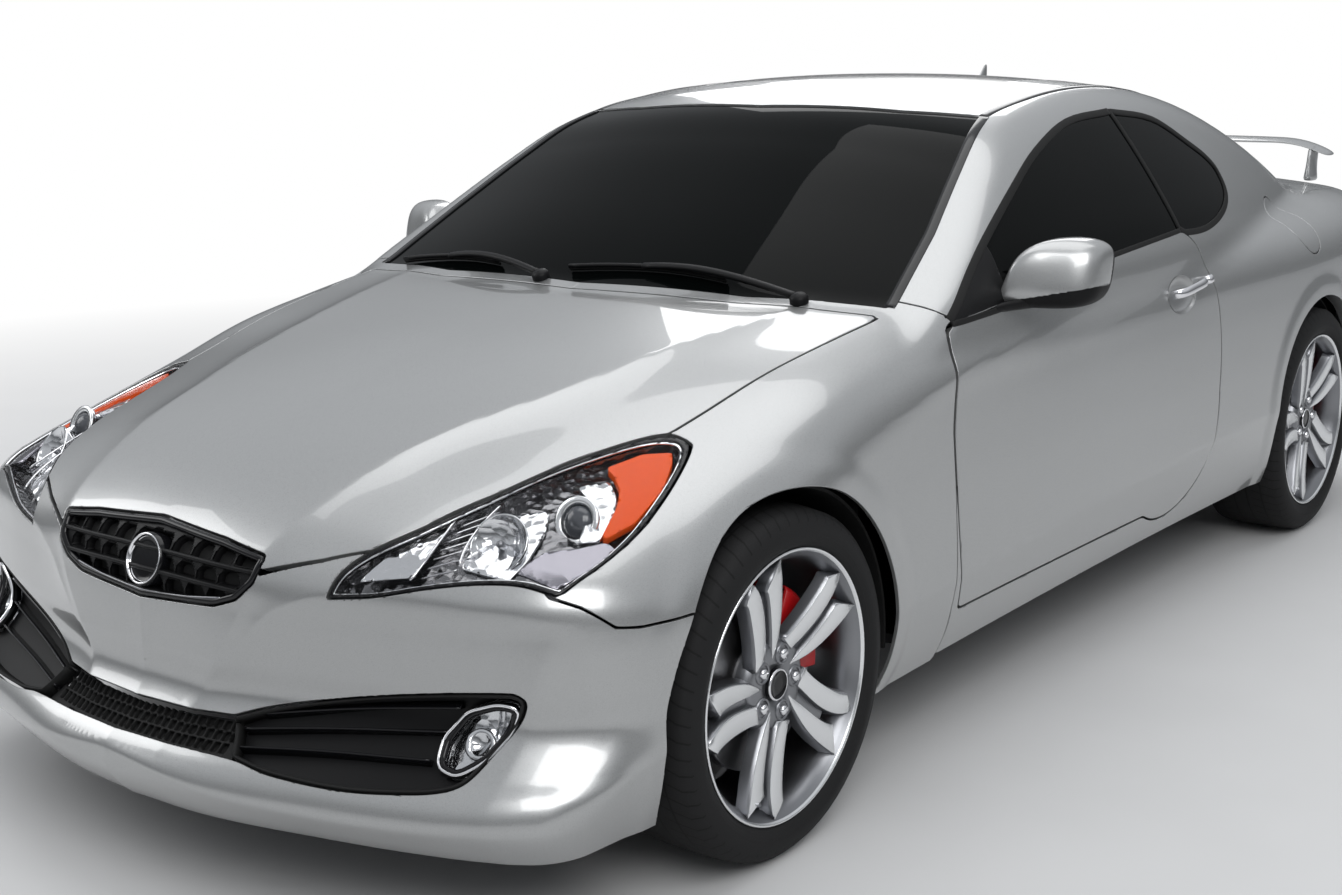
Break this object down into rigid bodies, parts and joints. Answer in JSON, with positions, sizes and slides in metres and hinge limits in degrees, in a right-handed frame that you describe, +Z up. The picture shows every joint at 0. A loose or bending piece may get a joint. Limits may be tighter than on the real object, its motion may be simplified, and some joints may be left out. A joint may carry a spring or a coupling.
{
  "type": "coupe car",
  "caption": "Two-door silver coupe with opening doors, hood, trunk lid and fuel flap, steering front wheels and free-rolling wheels.",
  "frame": {"origin": "on the ground under the middle of the car's length and width", "axes": "+Z up, front of the car towards -Y, left side towards +X"},
  "size_m": [2.068, 4.6299, 1.4009],
  "materials": {
    "body_paint": "metallic silver",
    "dark_plastic": "grained",
    "gloss_black": "gloss",
    "clear_lens": "clear over bright reflectors",
    "red_lens": "clear red",
    "tinted_glass": "tinted",
    "alloy": "machined face, satin sides",
    "tyre_rubber": "matt",
    "chassis_steel": "raw",
    "floor_steel": "satin",
    "seat_cloth": "woven",
    "cabin_plastic": "soft grain",
    "chrome_trim": "polished",
    "exhaust_steel": "brushed"
  },
  "bodies": {
    "body": {"body_side_left": "body_paint", "front_fender_left": "body_paint", "body_side_right": "body_paint", "front_fender_right": "body_paint", "front_bumper": "body_paint", "upper_grille": "gloss_black", "intake_grilles": "dark_plastic", "fog_lamps": "clear_lens", "headlamps": "clear_lens", "cowl_panel": "dark_plastic", "windscreen": "tinted_glass", "roof_panel": "body_paint", "sunroof_glass": "tinted_glass", "rear_window": "tinted_glass", "quarter_glass": "tinted_glass", "tail_lamps": "red_lens", "rear_bumper": "body_paint", "floor_pan": "floor_steel", "arch_liners": "dark_plastic", "engine_block": "chassis_steel", "dashboard": "cabin_plastic", "seats": "seat_cloth", "exhaust": "exhaust_steel", "front_suspension": "chassis_steel", "rear_suspension": "chassis_steel", "antenna_fin": "body_paint"},
    "door_assembly_left": {"door_left": "body_paint", "door_glass_left": "tinted_glass", "door_mirror_left": "body_paint", "door_handle_left": "chrome_trim"},
    "steering_knuckle_left": {"knuckle_left": "chassis_steel"},
    "road_wheel_front_left": {"wheel_front_left": "alloy", "tyre_front_left": "tyre_rubber"},
    "road_wheel_rear_left": {"wheel_rear_left": "alloy", "tyre_rear_left": "tyre_rubber"},
    "door_assembly_right": {"door_right": "body_paint", "door_glass_right": "tinted_glass", "door_mirror_right": "body_paint", "door_handle_right": "chrome_trim"},
    "steering_knuckle_right": {"knuckle_right": "chassis_steel"},
    "road_wheel_front_right": {"wheel_front_right": "alloy", "tyre_front_right": "tyre_rubber"},
    "road_wheel_rear_right": {"wheel_rear_right": "alloy", "tyre_rear_right": "tyre_rubber"},
    "hood_lid": {"hood": "body_paint"},
    "trunk_assembly": {"trunk_lid": "body_paint", "rear_spoiler": "body_paint"},
    "fuel_door": {"fuel_flap": "body_paint"}
  },
  "joints": [
    {"name": "door_hinge_left", "type": "hinge", "parent": "body", "child": "door_assembly_left", "pos_m": [0.888, -0.818, 0.32], "axis": [0.0478, 0, -0.9989], "range_deg": [0, 65]},
    {"name": "door_hinge_right", "type": "hinge", "parent": "body", "child": "door_assembly_right", "pos_m": [-0.888, -0.818, 0.32], "axis": [0.0478, 0, 0.9989], "range_deg": [0, 65]},
    {"name": "steer_left", "type": "hinge", "parent": "body", "child": "steering_knuckle_left", "pos_m": [0.736, -1.485, 0.331], "axis": [0, 0, 1], "range_deg": [-33, 33]},
    {"name": "steer_right", "type": "hinge", "parent": "body", "child": "steering_knuckle_right", "pos_m": [-0.736, -1.485, 0.331], "axis": [0, 0, 1], "range_deg": [-33, 33]},
    {"name": "spin_front_left", "type": "hinge", "parent": "steering_knuckle_left", "child": "road_wheel_front_left", "pos_m": [0.796, -1.485, 0.331], "axis": [1, 0, 0], "continuous": true},
    {"name": "spin_rear_left", "type": "hinge", "parent": "body", "child": "road_wheel_rear_left", "pos_m": [0.799, 1.335, 0.339], "axis": [1, 0, 0], "continuous": true},
    {"name": "spin_front_right", "type": "hinge", "parent": "steering_knuckle_right", "child": "road_wheel_front_right", "pos_m": [-0.796, -1.485, 0.331], "axis": [1, 0, 0], "continuous": true},
    {"name": "spin_rear_right", "type": "hinge", "parent": "body", "child": "road_wheel_rear_right", "pos_m": [-0.799, 1.335, 0.339], "axis": [1, 0, 0], "continuous": true},
    {"name": "hood_hinge", "type": "hinge", "parent": "body", "child": "hood_lid", "pos_m": [0, -0.915, 0.93], "axis": [-1, 0, 0], "range_deg": [0, 60]},
    {"name": "trunk_hinge", "type": "hinge", "parent": "body", "child": "trunk_assembly", "pos_m": [0, 1.728, 1.055], "axis": [1, 0, 0], "range_deg": [0, 75]},
    {"name": "fuel_hinge", "type": "hinge", "parent": "body", "child": "fuel_door", "pos_m": [0.887, 1.205, 0.925], "axis": [0.347, 0, -0.9379], "range_deg": [0, 95]}
  ],
  "couplings": [
    {"joint": "steer_right", "follows": "steer_left", "ratio": 1}
  ]
}
